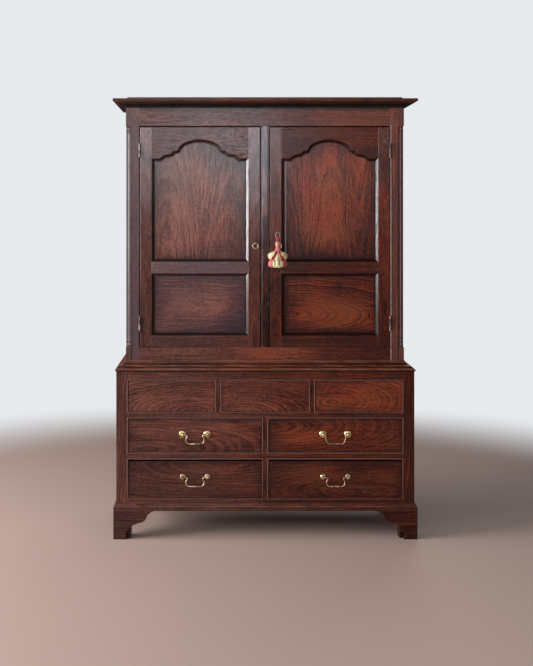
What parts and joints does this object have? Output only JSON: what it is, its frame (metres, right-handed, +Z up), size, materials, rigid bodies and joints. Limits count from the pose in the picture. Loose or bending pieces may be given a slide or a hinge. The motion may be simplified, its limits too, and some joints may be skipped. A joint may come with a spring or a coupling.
{
  "type": "linen press",
  "caption": "Dark oak linen press: a cupboard with two arched panelled doors, quarter columns and a cornice, over a chest with false fronts, drawers and bracket feet.",
  "frame": {"origin": "on the floor, at the middle of the overall width and depth", "axes": "+Z up; +X to the right seen from the front; the doors and drawers face -Y"},
  "size_m": [1.354, 0.5849, 1.967],
  "materials": {
    "oak": "waxed, satin",
    "oak_figured": "waxed, satin",
    "inner_oak": "dry, unpolished",
    "brass": "worn, patinated",
    "old_iron": "dull, worn",
    "tassel_cloth": "woven and ruffled",
    "tassel_cord": "twisted"
  },
  "bodies": {
    "case": {"back_feet": "oak", "base_moulding": "oak", "centre_muntin": "oak", "cornice": "oak", "drawer_runners": "inner_oak", "dummy_fronts": "oak_figured", "front_feet": "oak", "hinge_case_leaves": "brass", "hinge_pins": "brass", "inner_boards": "inner_oak", "lower_back": "inner_oak", "lower_rails": "oak", "lower_sides": "oak", "lower_top_frame": "inner_oak", "lower_uprights": "oak", "opening_beads": "oak", "quarter_columns": "oak", "shelf_bearers": "inner_oak", "shelves": "inner_oak", "top_board": "oak", "upper_back": "inner_oak", "upper_posts": "oak", "upper_rails": "oak", "upper_sides": "oak", "waist_moulding": "oak"},
    "left_door": {"left_door_stiles": "oak", "left_door_rails": "oak", "left_door_upper_panel": "oak_figured", "left_door_lower_panel": "oak_figured", "left_hinge_leaves": "brass", "left_pull_stud": "brass"},
    "right_door": {"right_door_stiles": "oak", "right_door_rails": "oak", "right_door_upper_panel": "oak_figured", "right_door_lower_panel": "oak_figured", "right_hinge_leaves": "brass", "right_pull_stud": "brass", "lock": "old_iron"},
    "left_ring": {"left_pull_ring": "brass"},
    "right_ring": {"right_pull_ring": "brass"},
    "key": {"key": "old_iron"},
    "lock_bolt": {"lock_bolt": "old_iron"},
    "tassel": {"tassel": "tassel_cloth", "tassel_cord": "tassel_cord"},
    "middle_left_drawer": {"middle_left_drawer_front": "oak_figured", "middle_left_drawer_box": "inner_oak", "middle_left_drawer_handle_posts": "brass"},
    "middle_left_bail": {"middle_left_drawer_bail": "brass"},
    "middle_right_drawer": {"middle_right_drawer_front": "oak_figured", "middle_right_drawer_box": "inner_oak", "middle_right_drawer_handle_posts": "brass"},
    "middle_right_bail": {"middle_right_drawer_bail": "brass"},
    "tall_left_drawer": {"tall_left_drawer_front": "oak_figured", "tall_left_drawer_box": "inner_oak", "tall_left_drawer_handle_posts": "brass"},
    "tall_left_bail": {"tall_left_drawer_bail": "brass"},
    "tall_right_drawer": {"tall_right_drawer_front": "oak_figured", "tall_right_drawer_box": "inner_oak", "tall_right_drawer_handle_posts": "brass"},
    "tall_right_bail": {"tall_right_drawer_bail": "brass"}
  },
  "joints": [
    {"name": "left_door_swing", "type": "hinge", "parent": "case", "child": "left_door", "pos_m": [-0.56125, -0.22425, 1.34], "axis": [0, 0, -1], "range_deg": [0, 170]},
    {"name": "right_door_swing", "type": "hinge", "parent": "case", "child": "right_door", "pos_m": [0.56125, -0.22425, 1.34], "axis": [0, 0, 1], "range_deg": [0, 170]},
    {"name": "left_ring_lift", "type": "hinge", "parent": "left_door", "child": "left_ring", "pos_m": [-0.0427, -0.22575, 1.312], "axis": [-1, 0, 0], "range_deg": [0, 85]},
    {"name": "right_ring_lift", "type": "hinge", "parent": "right_door", "child": "right_ring", "pos_m": [0.0617, -0.22575, 1.312], "axis": [-1, 0, 0], "range_deg": [0, 85]},
    {"name": "key_turn", "type": "hinge", "parent": "right_door", "child": "key", "pos_m": [0.055, -0.22025, 1.358], "axis": [0, 1, 0], "range_deg": [0, 360]},
    {"name": "bolt_throw", "type": "slide", "parent": "right_door", "child": "lock_bolt", "axis": [-1, 0, 0], "range_m": [0, 0.012]},
    {"name": "tassel_swing", "type": "hinge", "parent": "right_door", "child": "tassel", "pos_m": [0.055, -0.26225, 1.358], "axis": [0, 1, 0], "range_deg": [-12, 12]},
    {"name": "middle_left_drawer_slide", "type": "slide", "parent": "case", "child": "middle_left_drawer", "axis": [0, -1, 0], "range_m": [0, 0.4]},
    {"name": "middle_left_bail_lift", "type": "hinge", "parent": "middle_left_drawer", "child": "middle_left_bail", "pos_m": [-0.312, -0.27275, 0.4648], "axis": [-1, 0, 0], "range_deg": [0, 85]},
    {"name": "middle_right_drawer_slide", "type": "slide", "parent": "case", "child": "middle_right_drawer", "axis": [0, -1, 0], "range_m": [0, 0.4]},
    {"name": "middle_right_bail_lift", "type": "hinge", "parent": "middle_right_drawer", "child": "middle_right_bail", "pos_m": [0.312, -0.27275, 0.4648], "axis": [-1, 0, 0], "range_deg": [0, 85]},
    {"name": "tall_left_drawer_slide", "type": "slide", "parent": "case", "child": "tall_left_drawer", "axis": [0, -1, 0], "range_m": [0, 0.4]},
    {"name": "tall_left_bail_lift", "type": "hinge", "parent": "tall_left_drawer", "child": "tall_left_bail", "pos_m": [-0.312, -0.27275, 0.2758], "axis": [-1, 0, 0], "range_deg": [0, 85]},
    {"name": "tall_right_drawer_slide", "type": "slide", "parent": "case", "child": "tall_right_drawer", "axis": [0, -1, 0], "range_m": [0, 0.4]},
    {"name": "tall_right_bail_lift", "type": "hinge", "parent": "tall_right_drawer", "child": "tall_right_bail", "pos_m": [0.312, -0.27275, 0.2758], "axis": [-1, 0, 0], "range_deg": [0, 85]}
  ],
  "couplings": [
    {"joint": "key_turn", "follows": "bolt_throw", "rad_per_m": 523.59}
  ]
}
